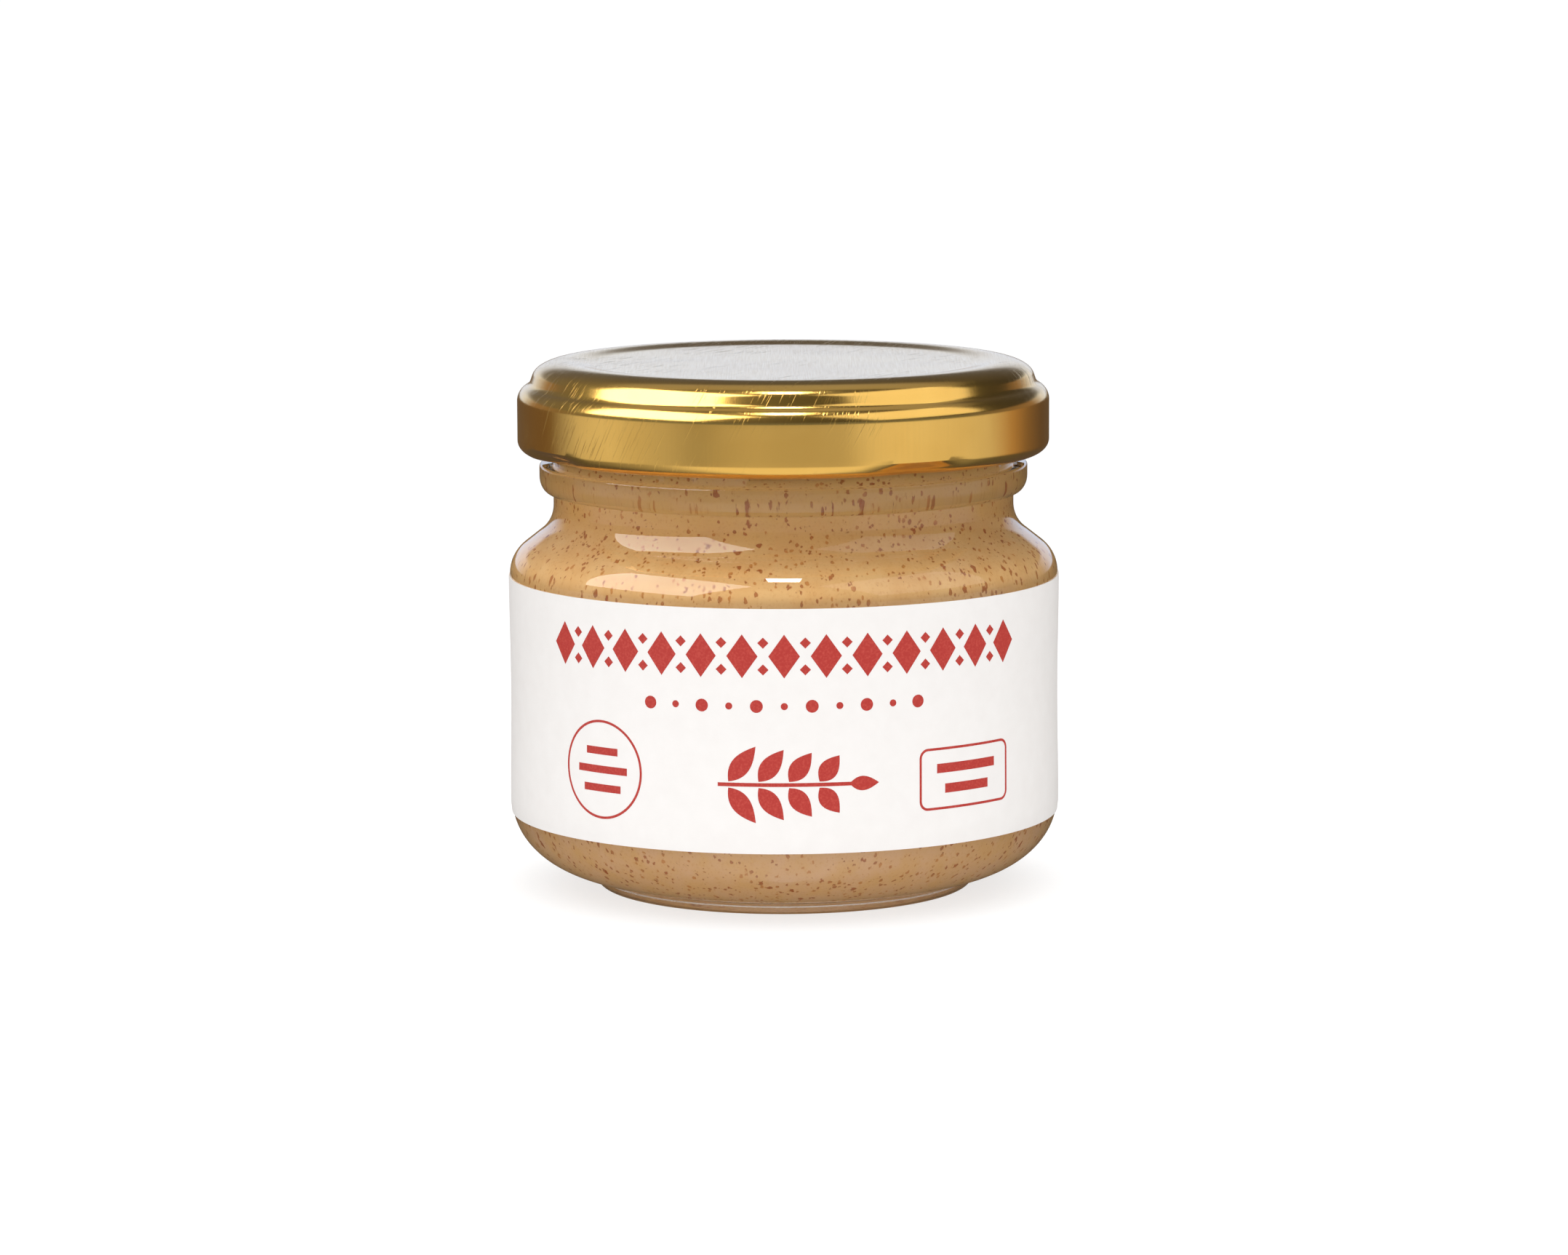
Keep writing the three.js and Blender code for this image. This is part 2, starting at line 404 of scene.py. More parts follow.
@dataclass(frozen=True)
class Flecks:
    """A scatter of flecks of uneven size, in cells with at most one fleck each."""

    per_mm: float
    size: Point
    warp: float
    weight: float
    stretch: Colour = (1.0, 1.0, 0.72)
    warp_scale: float = 2.6
    bare_cells: float = 0.35
    soft_edge: float = 0.12

    def mask(self, shader: Shader) -> bpy.types.NodeSocket:
        """Adds the flecks to a shader.

        Args:
            shader: The shader to add to.

        Returns:
            A value socket, the flecks' weight inside a fleck and 0 outside.
        """
        place_mm = shader.millimetres(self.stretch)
        bent = shader.add("ShaderNodeTexNoise")
        shader.feed(bent, Vector=place_mm, Scale=self.warp_scale, Detail=2.0)
        shift = shader.add("ShaderNodeVectorMath", operation="MULTIPLY_ADD")
        warp = (self.warp, self.warp, self.warp)
        for value, socket in zip((bent.outputs["Color"], warp, place_mm), shift.inputs):
            shader.join(value, socket)
        cells = shader.add("ShaderNodeTexVoronoi")
        shader.feed(cells, Vector=shift.outputs["Vector"], Scale=self.per_mm)
        spread = shader.feed(shader.add("ShaderNodeSeparateColor"), Color=cells.outputs["Color"])
        radius = shader.remap(spread.outputs["Red"], (self.bare_cells, 1.0), self.size)
        inside = shader.maths("SUBTRACT", radius, cells.outputs["Distance"])
        shown = shader.remap(inside, (0.0, self.soft_edge), smooth=True)
        return shader.maths("MULTIPLY", shown, self.weight)


@dataclass(frozen=True)
class ButterFinish:
    """Ground peanuts: a tan paste full of fine brown flecks of skin."""

    paste: Colour = (0.91, 0.575, 0.245)
    paste_dark: Colour = (0.85, 0.49, 0.185)
    # Painted shade: a darker, pinker paste at the heel and a darker, browner paste in the neck, blended in
    # by height.
    paste_heel_shade: Colour = (0.87, 0.525, 0.27)
    paste_neck_shade: Colour = (0.85, 0.50, 0.165)
    heel_shade_range: Point = (30.0, 8.0)
    neck_shade_range: Point = (40.0, 45.0)
    fleck: Colour = (0.42, 0.085, 0.012)
    fleck_pale: Colour = (0.64, 0.225, 0.045)
    fine: Flecks = Flecks(1.8, (0.10, 0.50), 0.45, 0.75)
    coarse: Flecks = Flecks(0.9, (-0.05, 0.37), 0.8, 0.8)
    cloud_scale: float = 0.32
    cloud_weight: float = 0.8
    grain_scale: float = 3.2
    grain_weight: float = 0.3
    tone_scale: float = 0.6

    def material(self) -> bpy.types.Material:
        """Builds the peanut butter, with painted shade: darker and pinker at the heel, darker and browner in
        the neck under the lid.

        Returns:
            The material.
        """
        shader = Shader("speckled_peanut_butter")
        place_mm = shader.millimetres()
        height = shader.split(place_mm)["Z"]
        # Painted shade: the paste darkens towards the heel and towards the neck under the lid.
        body = shader.blend(shader.remap(height, self.heel_shade_range), self.paste, self.paste_heel_shade)
        body = shader.blend(shader.remap(height, self.neck_shade_range), body, self.paste_neck_shade)
        cloud = shader.remap(
            shader.noise(place_mm, self.cloud_scale, 3.0), (0.35, 0.65), (0.0, self.cloud_weight)
        )
        paste = shader.blend(cloud, body, self.paste_dark)
        grain = shader.remap(
            shader.noise(place_mm, self.grain_scale, 2.0), (0.55, 0.75), (0.0, self.grain_weight)
        )
        grainy = shader.blend(grain, paste, self.fleck_pale)
        tone = shader.remap(shader.noise(place_mm, self.tone_scale, 0.0), (0.4, 0.6))
        fleck = shader.blend(tone, self.fleck, self.fleck_pale)
        speckled = shader.blend(self.fine.mask(shader), grainy, fleck)
        colour = shader.blend(self.coarse.mask(shader), speckled, self.fleck)
        shader.feed(shader.surface, Base_Color=colour, Roughness=0.6, Specular_IOR_Level=0.15)
        return shader.material


@dataclass(frozen=True)
class GoldFinish:
    """Gold lacquer on tinplate, with the fine scratches of handling."""

    gold: Colour = (0.90, 0.55, 0.135)
    deep_gold: Colour = (0.83, 0.49, 0.11)
    roughness: Point = (0.15, 0.27)
    scratch_turn: float = 28.0
    scratch_stretch: Colour = (5.5, 0.16, 1.0)
    scratch_depth: float = 0.012
    brush_stretch: Colour = (7.0, 0.12, 1.0)
    brush_depth: float = 0.004
    lacquer: float = 0.15

    def material(self) -> bpy.types.Material:
        """Builds the lacquered gold.

        Returns:
            The material.
        """
        shader = Shader("gold_lacquered_tinplate")
        tone = shader.noise(shader.millimetres(), 0.08, 3.0)
        gold = shader.blend(shader.remap(tone, (0.35, 0.65)), self.gold, self.deep_gold)
        brush = shader.noise(shader.unrolled(self.brush_stretch, 0.0), 1.0, 3.0)
        scratch = shader.noise(shader.unrolled(self.scratch_stretch, self.scratch_turn), 1.0, 4.0)
        patches = shader.remap(shader.noise(shader.millimetres(), 0.07, 2.0), (0.42, 0.62), smooth=True)
        lines = shader.remap(scratch, (0.60, 0.70))
        scratches = shader.maths("MULTIPLY", lines, patches)
        rough = shader.remap(shader.maths("ADD", brush, scratches), (0.3, 1.3), self.roughness)
        shader.feed(
            shader.surface, Base_Color=gold, Metallic=1.0, Roughness=rough, Coat_Weight=self.lacquer,
            Coat_Roughness=0.06, Coat_IOR=1.5,
        )
        shader.bump(brush, self.brush_depth)
        shader.bump(scratches, self.scratch_depth)
        return shader.material


@dataclass(frozen=True)
class PaperFinish:
    """Coated label paper, nearly smooth, with a faint fibre."""

    white: Colour = (0.815, 0.79, 0.77)
    shade: Colour = (0.795, 0.768, 0.747)
    roughness: Point = (0.5, 0.62)

    def material(self) -> bpy.types.Material:
        """Builds the paper.

        Returns:
            The material.
        """
        shader = Shader("label_paper")
        place_mm = shader.millimetres()
        fibre = shader.noise(shader.millimetres((1.0, 1.0, 2.5)), 3.0, 4.0)
        cloud = shader.noise(place_mm, 0.5, 3.0)
        colour = shader.blend(shader.remap(cloud, (0.3, 0.7)), self.white, self.shade)
        rough = shader.remap(fibre, (0.3, 0.7), self.roughness)
        shader.feed(shader.surface, Base_Color=colour, Roughness=rough, Specular_IOR_Level=0.3)
        shader.bump(fibre, 0.006)
        return shader.material


@dataclass(frozen=True)
class InkFinish:
    """Red printing ink, a little uneven where it took to the paper."""

    red: Colour = (0.43, 0.03, 0.022)
    worn: Colour = (0.52, 0.06, 0.042)

    def material(self) -> bpy.types.Material:
        """Builds the ink.

        Returns:
            The material.
        """
        shader = Shader("red_ink")
        grain = shader.noise(shader.millimetres(), 4.0, 3.0)
        colour = shader.blend(shader.remap(grain, (0.45, 0.75)), self.red, self.worn)
        rough = shader.remap(grain, (0.3, 0.7), (0.42, 0.55))
        shader.feed(shader.surface, Base_Color=colour, Roughness=rough, Specular_IOR_Level=0.3)
        return shader.material


class Assembly:
    """A piece of the object that is built first and then given its finish."""

    finish: GlassFinish | ButterFinish | GoldFinish | PaperFinish | InkFinish

    def dress(self, piece: bpy.types.Object) -> None:
        """Gives a built piece its material."""
        piece.data.materials.append(self.finish.material())


@dataclass
class GlassJar(Assembly):
    """The clear jar: foot, heel, label panel, shoulder, neck, collar, threads and rim."""

    body_radius: float
    rim_top: float
    foot_inner: float = 19.6
    foot_outer: float = 21.1
    foot_radius: float = 21.9
    foot_height: float = 1.45
    foot_round: float = 0.8
    groove: float = 0.3
    push_up: float = 1.4
    push_power: float = 12.0
    heel_width: float = 10.7
    heel_height: float = 8.55
    waist_depth: float = 0.14
    shoulder_z: float = 36.5
    shoulder_round: float = 4.1
    shoulder_slope: float = 52.0
    neck_round: float = 4.0
    neck_radius: float = 26.6
    collar_radius: float = 28.2
    collar_bottom: float = 45.9
    collar_top: float = 49.2
    collar_round: Point = (1.25, 1.85)
    collar_edge: float = 0.35
    wall: float = 2.4
    floor_z: float = 4.4
    inner_heel: Point = (9.0, 6.8)
    rim_round: float = 0.9
    lug_angles: tuple[float, ...] = (30.0, 120.0, 210.0, 300.0)
    ridge_radius: float = 1.3
    ridge_reach: float = 28.15
    ridge_sweep: float = 76.0
    ridge_low: float = 51.2
    ridge_rise: float = 2.4
    steps: int = 240
    finish: GlassFinish = field(default_factory=GlassFinish)

    @property
    def heel_top(self) -> float:
        """Height where the heel meets the label panel."""
        return self.foot_height + self.heel_height

    @property
    def heel_centre(self) -> Point:
        """Centre of the heel's curve."""
        return self.body_radius - self.heel_width, self.heel_top

    def panel_radius(self, z: float) -> float:
        """Finds the glass's outer radius on the heel or the label panel.

        Args:
            z: Height in millimetres.

        Returns:
            The radius at that height.
        """
        if z < self.heel_top:
            drop = (self.heel_top - z) / self.heel_height
            return self.heel_centre[0] + self.heel_width * math.sqrt(1.0 - drop * drop)
        along = (z - self.heel_top) / (self.shoulder_z - self.heel_top)
        return self.body_radius - self.waist_depth * (1.0 - math.cos(math.tau * along)) / 2.0

    def shoulder(self, inset: float) -> Profile:
        """Draws the S-shaped shoulder from the body up to the neck.

        Args:
            inset: Distance inwards from the outer surface.

        Returns:
            The points, from the bottom up.
        """
        slope = math.radians(self.shoulder_slope)
        outer_round = self.shoulder_round - inset
        neck_round = self.neck_round + inset
        start = (self.body_radius - self.shoulder_round, self.shoulder_z)
        outer = arc(start, (outer_round, outer_round), 0, self.shoulder_slope, 12)
        neck_centre = self.neck_radius + self.neck_round
        run = (outer[-1][0] - neck_centre + neck_round * math.cos(slope)) / math.sin(slope)
        neck_z = outer[-1][1] + run * math.cos(slope) + neck_round * math.sin(slope)
        return outer + arc(
            (neck_centre, neck_z), (neck_round, neck_round), 180 + self.shoulder_slope, 180, 12
        )

    def cavity(self, inset: float, top: float) -> Profile:
        """Draws the inside of the glass, from the axis at the floor up to a height in the neck.

        Args:
            inset: Distance inwards from the inner surface, below 0 to reach into the wall.
            top: Height of the last point.

        Returns:
            The points, from the bottom up.
        """
        width, height = self.inner_heel
        centre = (self.body_radius - self.wall - width, self.floor_z + height)
        heel = arc(centre, (width - inset, height - inset), -90, 0, 24)
        neck = (self.neck_radius - self.wall - inset, top)
        return [(0.0, self.floor_z + inset), *heel, *self.shoulder(self.wall + inset), neck]

    def foot(self) -> Profile:
        """Draws the underside, the foot ring and the groove above it.

        Returns:
            The points, from the axis outwards and up.
        """
        under_rings = 16
        under = []
        for i in range(under_rings):
            share = 1.0 - (1.0 - i / under_rings) ** 2
            under.append((self.foot_inner * share, self.push_up * (1.0 - share**self.push_power)))
        corner = (self.foot_radius - self.foot_outer, self.foot_round)
        edge = arc((self.foot_outer, self.foot_round), corner, -90, 0, 8)
        groove_centre = (self.foot_radius, self.foot_height - self.groove)
        groove = arc(groove_centre, (self.groove, self.groove), 270, 90, 8)
        return [*under, (self.foot_inner, 0.0), *edge, *groove]

    def outside(self) -> Profile:
        """Draws the outside of the glass, from the axis under the base up to the neck wall.

        Returns:
            The points, from the bottom up.
        """
        share = (self.foot_radius - self.heel_centre[0]) / self.heel_width
        heel_start = -math.degrees(math.acos(share))
        heel = arc(self.heel_centre, (self.heel_width, self.heel_height), heel_start, 0, 28)
        panel_rings = 24
        rise = (self.shoulder_z - self.heel_top) / panel_rings
        heights = [self.heel_top + rise * i for i in range(1, panel_rings)]
        panel = [(self.panel_radius(z), z) for z in heights]
        width, height = self.collar_round
        bead = arc((self.collar_radius - width, self.collar_bottom + height), (width, height), -90, 0, 10)
        edge_centre = (self.collar_radius - self.collar_edge, self.collar_top - self.collar_edge)
        edge = arc(edge_centre, (self.collar_edge, self.collar_edge), 0, 90, 4)
        neck = [(self.neck_radius, self.collar_bottom)]
        return [*self.foot(), *heel, *panel, *self.shoulder(0.0), *neck, *bead, *edge,
                (self.neck_radius, self.collar_top)]

    def ridges(self) -> bpy.types.Object:
        """Sweeps the thread ridges that the lid's lugs hold on to.

        Returns:
            A solid to join to the jar.
        """
        work = bmesh.new()
        ridge_steps = 24
        upright = Matrix.Rotation(math.radians(90), 4, "Y")
        for angle in self.lug_angles:
            start = math.radians(angle - self.ridge_sweep / 2.0)
            middle = Matrix.Translation((0.0, self.ridge_radius - self.ridge_reach, self.ridge_low))
            ring = bmesh.ops.create_circle(
                work, cap_ends=True, radius=self.ridge_radius, segments=16,
                matrix=Matrix.Rotation(start, 4, "Z") @ middle @ upright,
            )
            section = ring["verts"]
            faces = list({face for vert in section for face in vert.link_faces})
            edges = list({edge for vert in section for edge in vert.link_edges})
            bmesh.ops.spin(
                work, geom=section + edges + faces, cent=(0, 0, 0), axis=(0, 0, 1),
                dvec=(0, 0, self.ridge_rise / ridge_steps),
                angle=math.radians(self.ridge_sweep), steps=ridge_steps, use_merge=False,
            )
        bmesh.ops.recalc_face_normals(work, faces=work.faces)
        return finish_mesh(work, "thread_ridges")

    def build(self) -> bpy.types.Object:
        """Spins the jar's wall and joins the thread ridges to it.

        Returns:
            The finished piece.
        """
        bore = self.neck_radius - self.wall
        rim_centre = (bore + self.wall / 2.0, self.rim_top - self.rim_round)
        rim = arc(rim_centre, (self.wall / 2.0, self.rim_round), 0, 180, 16)
        wall = turn([*self.outside(), *rim, *reversed(self.cavity(0.0, self.collar_top))], self.steps)
        piece = finish_mesh(wall, "clear_glass_jar")
        return join_solid(piece, self.ridges())


def join_solid(piece: bpy.types.Object, addition: bpy.types.Object) -> bpy.types.Object:
    """Joins a second solid to a piece and removes the second.

    Args:
        piece: The piece that stays.
        addition: The solid to join, which is deleted.

    Returns:
        The same piece, with the joined mesh.
    """
    union = piece.modifiers.new("joined", "BOOLEAN")
    union.operation = "UNION"
    union.solver = "EXACT"
    union.object = addition
    graph = bpy.context.evaluated_depsgraph_get()
    joined = bpy.data.meshes.new_from_object(piece.evaluated_get(graph), depsgraph=graph)
    piece.modifiers.clear()
    old = piece.data
    joined.name = old.name
    piece.data = joined
    bpy.data.meshes.remove(old)
    bpy.data.objects.remove(addition)
    return piece


@dataclass
class PeanutButter(Assembly):
    """The filling, which reaches just into the glass so that no air gap shows."""

    jar: GlassJar
    top: float
    reach: float = 0.06
    edge: float = 0.8
    finish: ButterFinish = field(default_factory=ButterFinish)

    def build(self) -> bpy.types.Object:
        """Spins the filling to the shape of the jar's inside.

        Returns:
            The finished piece.
        """
        side = self.jar.cavity(-self.reach, self.top - self.edge)
        corner = arc((side[-1][0] - self.edge, self.top - self.edge), (self.edge, self.edge), 0, 90, 6)
        work = turn([*side[:-1], *corner, (0.0, self.top)], self.jar.steps)
        return finish_mesh(work, "peanut_butter_filling")


@dataclass
class Lid(Assembly):
    """The pressed gold cap: panel, crown, step, skirt, curled edge and lugs."""

    radius: float
    bottom: float
    top: float
    wall: float = 0.3
    curl: Point = (1.8, 1.55)
    curl_inner: float = 0.4
    step_z: float = 56.48
    step_round: float = 1.89
    step_fillet: float = 1.12
    step_slope: float = 62.3
    riser_lean: float = 19.9
    crown: Point = (3.87, 1.94)
    panel_radius: float = 21.5
    panel_drop: float = 0.35
    lug_count: int = 4
    first_lug: float = 30.0
    lug_depth: float = 1.0
    lug_half_width: float = 14.0
    steps: int = 288
    finish: GoldFinish = field(default_factory=GoldFinish)

    def face(self, inset: float) -> Profile:
        """Draws one face of the sheet, from the top of the skirt over the crown to the axis.

        Args:
            inset: Distance inwards from the outer face.

        Returns:
            The points, from the skirt to the axis.
        """
        slope = math.radians(self.step_slope)
        lean = math.radians(self.riser_lean)
        width, height = self.crown
        reach = self.step_round + self.step_fillet
        corner_centre = (self.radius - self.step_round, self.step_z)
        fillet_centre = (
            corner_centre[0] + reach * math.cos(slope),
            corner_centre[1] + reach * math.sin(slope),
        )
        crown_z = self.top - height
        foot = math.atan(math.tan(lean) * height / width)
        foot_rise = crown_z + height * math.sin(foot) - fillet_centre[1]
        foot_radius = fillet_centre[0] - (self.step_fillet + foot_rise * math.sin(lean)) / math.cos(lean)
        crown_radius = foot_radius - width * math.cos(foot)
        corner = self.step_round - inset
        fillet = self.step_fillet + inset
        rings = 10
        ring = []
        for i in range(1, rings + 1):
            along = i / rings
            drop = self.panel_drop * (1.0 - math.cos(math.pi * along)) / 2.0
            ring.append((crown_radius + (self.panel_radius - crown_radius) * along, self.top - drop - inset))
        return [
            *arc(corner_centre, (corner, corner), 0, self.step_slope, 12),
            *arc(fillet_centre, (fillet, fillet), 180 + self.step_slope, 180 + self.riser_lean, 8)[1:],
            *arc((crown_radius, crown_z), (width - inset, height - inset), math.degrees(foot), 90, 20),
            *ring,
            (self.panel_radius / 2.0, self.top - self.panel_drop - inset),
            (0.0, self.top - self.panel_drop - inset),
        ]

    def press_lugs(self, work: bmesh.types.BMesh) -> None:
        """Presses the curled edge inwards at each lug.

        Args:
            work: The lid's bmesh in millimetres.
        """
        pitch = 360.0 / self.lug_count
        curl_top = self.bottom + self.curl[1]
        for vert in work.verts:
            depth = (curl_top - vert.co.z) / self.curl[1]
            angle = math.degrees(math.atan2(vert.co.x, -vert.co.y))
            offset = (angle - self.first_lug + pitch / 2.0) % pitch - pitch / 2.0
            if depth <= 0.0 or abs(offset) >= self.lug_half_width:
                continue
            across = math.cos(math.pi * offset / (2.0 * self.lug_half_width)) ** 2
            press = self.lug_depth * min(1.0, 2.0 * depth) * across
            scale = 1.0 - press / vert.co.xy.length
            vert.co.x *= scale
            vert.co.y *= scale

    def unroll(self, work: bmesh.types.BMesh) -> None:
        """Lays out the lid's side by arc length and height, and its top as seen from above.

        Args:
            work: The lid's bmesh in millimetres.
        """
        layer = work.loops.layers.uv.new(UNROLLED)
        for face in work.faces:
            middle = face.calc_center_median()
            centre = math.atan2(middle.x, -middle.y)
            for loop in face.loops:
                spot = loop.vert.co
                if abs(face.normal.z) > 0.9:
                    loop[layer].uv = spot.xy
                    continue
                angle = math.atan2(spot.x, -spot.y)
                angle += math.tau * round((centre - angle) / math.tau)
                loop[layer].uv = (angle * self.radius, spot.z)

    def build(self) -> bpy.types.Object:
        """Spins the lid's sheet and presses its lugs.

        Returns:
            The finished piece.
        """
        curl_top = self.bottom + self.curl[1]
        curl_radius = self.radius - self.curl[0]
        lip = (self.curl_inner, self.curl_inner)
        skirt_rings = 8
        rise = (self.step_z - curl_top) / skirt_rings
        skirt = [(self.radius, curl_top + rise * i) for i in range(1, skirt_rings)]
        work = turn(
            [
                *reversed(self.face(self.wall)),
                (self.radius - self.wall, curl_top + self.curl_inner),
                *arc((curl_radius, self.bottom + self.curl_inner), lip, 90, 270, 10),
                *arc((curl_radius, curl_top), self.curl, -90, 0, 16)[1:],
                *skirt,
                *self.face(0.0),
            ],
            self.steps,
        )
        self.press_lugs(work)
        self.unroll(work)
        return finish_mesh(work, "gold_twist_off_lid")


@dataclass
class Label(Assembly):
    """The paper band round the jar's body, with a gap at the back."""

    jar: GlassJar
    bottom: float
    top: float
    lift: float = 0.03
    thickness: float = 0.12
    gap: float = 6.0
    rings: int = 28
    finish: PaperFinish = field(default_factory=PaperFinish)

    def face_radius(self, z: float) -> float:
        """Finds the radius of the label's printed face at a height."""
        return self.jar.panel_radius(z) + self.lift + self.thickness

    def build(self) -> bpy.types.Object:
        """Spins the band's section from one end of the label to the other.

        Returns:
            The finished piece.
        """
        heights = [self.bottom + (self.top - self.bottom) * i / self.rings for i in range(self.rings + 1)]
        outer = [(self.face_radius(z), z) for z in heights]
        inner = [(r - self.thickness, z) for r, z in reversed(outer)]
        sweep = math.tau - self.gap / self.jar.body_radius
        work = bmesh.new()
        outline = add_outline(work, outer + inner, closed=True)
        bmesh.ops.rotate(
            work, verts=work.verts, cent=(0, 0, 0), matrix=Matrix.Rotation(-sweep / 2.0, 3, "Z")
        )
        bmesh.ops.spin(
            work, geom=outline, cent=(0, 0, 0), axis=(0, 0, 1), angle=sweep,
            steps=self.jar.steps, use_merge=False,
        )
        ends = [edge for edge in work.edges if edge.is_boundary]
        bmesh.ops.holes_fill(work, edges=ends, sides=0)
        bmesh.ops.recalc_face_normals(work, faces=work.faces)
        return finish_mesh(work, "paper_label")


@dataclass
class LabelPrint(Assembly):
    """Red print on the label: a frieze, a row of dots, a leaf sprig, and a ring and a box with bars."""

    label: Label
    lift: float = 0.012
    thickness: float = 0.02
    slice_width: float = 0.6
    frieze_z: float = 31.0
    frieze_count: int = 13
    frieze_pitch: float = 4.7
    lozenge: Point = (1.75, 2.45)
    square: float = 0.62
    square_rise: float = 1.5
    dots_z: float = 25.4
    dot_count: int = 11
    dot_pitch: float = 3.1
    dot_radii: Point = (0.72, 0.396)
    sprig_z: float = 16.6
    stalk: Point = (15.0, 0.42)
    leaf_pairs: int = 4
    leaf_start: float = 1.2
    leaf_pitch: float = 3.4
    leaf_size: Point = (5.0, 1.05)
    leaf_taper: float = 0.45
    leaf_rise: float = 0.35
    leaf_turn: float = 52.0
    leaf_lean: float = 0.25
    tip_size: Point = (3.4, 0.8)
    tip_overlap: float = 0.2
    ring_place: Point = (-22.3, 17.2)
    ring_radii: Point = (5.6, 5.6)
    ring_rules: tuple[Point, ...] = ((2.1, 4.6), (0.0, 7.2), (-2.1, 5.4))
    ring_rule_height: float = 0.85
    box_place: Point = (22.3, 16.4)
    box_size: Point = (13.2, 7.0)
    box_corner: float = 1.1
    box_rules: tuple[Point, ...] = ((1.15, 8.6), (-1.15, 6.4))
    box_rule_height: float = 1.05
    line_width: float = 0.28
    finish: InkFinish = field(default_factory=InkFinish)

    def ellipse(self, work: bmesh.types.BMesh, place_mm: Point, radii: Point, sides: int) -> list:
        """Adds a filled ellipse to the flat print.

        Args:
            work: The flat print.
            place_mm: Its middle.
            radii: Its half width and half height.
            sides: Number of sides.

        Returns:
            Its vertices.
        """
        shape = Matrix.Translation((*place_mm, 0.0)) @ Matrix.Diagonal((*radii, 1.0, 1.0))
        disc = bmesh.ops.create_circle(work, cap_ends=True, radius=1.0, segments=sides, matrix=shape)
        return disc["verts"]

    def bar(self, work: bmesh.types.BMesh, place_mm: Point, size: Point) -> list:
        """Adds a filled rectangle to the flat print.

        Args:
            work: The flat print.
            place_mm: Its middle.
            size: Its width and height.

        Returns:
            Its vertices.
        """
        halves = Matrix.Diagonal((size[0] / 2.0, size[1] / 2.0, 1.0, 1.0))
        shape = Matrix.Translation((*place_mm, 0.0)) @ halves
        return bmesh.ops.create_grid(work, x_segments=1, y_segments=1, size=1.0, matrix=shape)["verts"]

    def hollow(self, work: bmesh.types.BMesh, verts: list) -> None:
        """Leaves only a thin outline of a filled shape.

        Args:
            work: The flat print.
            verts: The shape's vertices.
        """
        faces = list({face for vert in verts if vert.is_valid for face in vert.link_faces})
        bmesh.ops.inset_region(
            work, faces=faces, thickness=self.line_width, use_boundary=True, use_even_offset=True
        )
        bmesh.ops.delete(work, geom=faces, context="FACES")

    def rounded_box(self, work: bmesh.types.BMesh) -> None:
        """Adds the outlined box with round corners, and two rules in it.

        Args:
            work: The flat print.
        """
        verts = self.bar(work, self.box_place, self.box_size)
        rounded = bmesh.ops.bevel(
            work, geom=verts, offset=self.box_corner, offset_type="OFFSET", affect="VERTICES", segments=8,
            profile=0.5, material=-1,
        )
        self.hollow(work, rounded["verts"])
        s, z = self.box_place
        for offset, width in self.box_rules:
            self.bar(work, (s, z + offset), (width, self.box_rule_height))

    def ring(self, work: bmesh.types.BMesh) -> None:
        """Adds the outlined circle, and three rules in it.

        Args:
            work: The flat print.
        """
        self.hollow(work, self.ellipse(work, self.ring_place, self.ring_radii, sides=96))
        s, z = self.ring_place
        for offset, width in self.ring_rules:
            self.bar(work, (s, z + offset), (width, self.ring_rule_height))

    def leaf(self, work: bmesh.types.BMesh, root: Point, size: Point, turn_deg: float) -> None:
        """Adds a pointed leaf.

        Args:
            work: The flat print.
            root: Where its stalk end is.
            size: Its length and half width.
            turn_deg: Direction that it grows in.
        """
        verts = bmesh.ops.create_circle(work, cap_ends=True, radius=1.0, segments=40)["verts"]
        for vert in verts:
            along = max(-1.0, min(1.0, vert.co.x))
            bulge = (1.0 - along * along) * (1.0 - self.leaf_lean * along)
            vert.co.y = math.copysign(bulge, vert.co.y)
        half = size[0] / 2.0
        shape = (
            Matrix.Translation((*root, 0.0))
            @ Matrix.Rotation(math.radians(turn_deg), 4, "Z")
            @ Matrix.Translation((half, 0.0, 0.0))
            @ Matrix.Diagonal((half, size[1], 1.0, 1.0))
        )
        bmesh.ops.transform(work, matrix=shape, verts=verts)

    def sprig(self, work: bmesh.types.BMesh) -> None:
        """Adds a sprig of leaves that lies level, with a stalk and a leaf at its tip.

        Args:
            work: The flat print.
        """
        length, width = self.stalk
        leaf_length, leaf_width = self.leaf_size
        self.bar(work, (0.0, self.sprig_z), (length, width))
        for i in range(self.leaf_pairs):
            s = -length / 2.0 + self.leaf_start + i * self.leaf_pitch
            size = (leaf_length - self.leaf_taper * i, leaf_width)
            for side in (1, -1):
                self.leaf(work, (s, self.sprig_z + side * self.leaf_rise), size, side * self.leaf_turn)
        self.leaf(work, (length / 2.0 - self.tip_overlap, self.sprig_z), self.tip_size, 0.0)

    def frieze(self, work: bmesh.types.BMesh) -> None:
        """Adds the row of lozenges with small squares between them.

        Args:
            work: The flat print.
        """
        middle = (self.frieze_count - 1) / 2.0
        for i in range(self.frieze_count):
            s = (i - middle) * self.frieze_pitch
            self.ellipse(work, (s, self.frieze_z), self.lozenge, sides=4)
            if i == self.frieze_count - 1:
                break
            for rise in (self.square_rise, -self.square_rise):
                between = (s + self.frieze_pitch / 2.0, self.frieze_z + rise)
                self.ellipse(work, between, (self.square, self.square), sides=4)

    def dots(self, work: bmesh.types.BMesh) -> None:
        """Adds the row of dots under the frieze.

        Args:
            work: The flat print.
        """
        middle = (self.dot_count - 1) / 2.0
        for i in range(self.dot_count):
            radius = self.dot_radii[i % 2]
            self.ellipse(work, ((i - middle) * self.dot_pitch, self.dots_z), (radius, radius), sides=24)

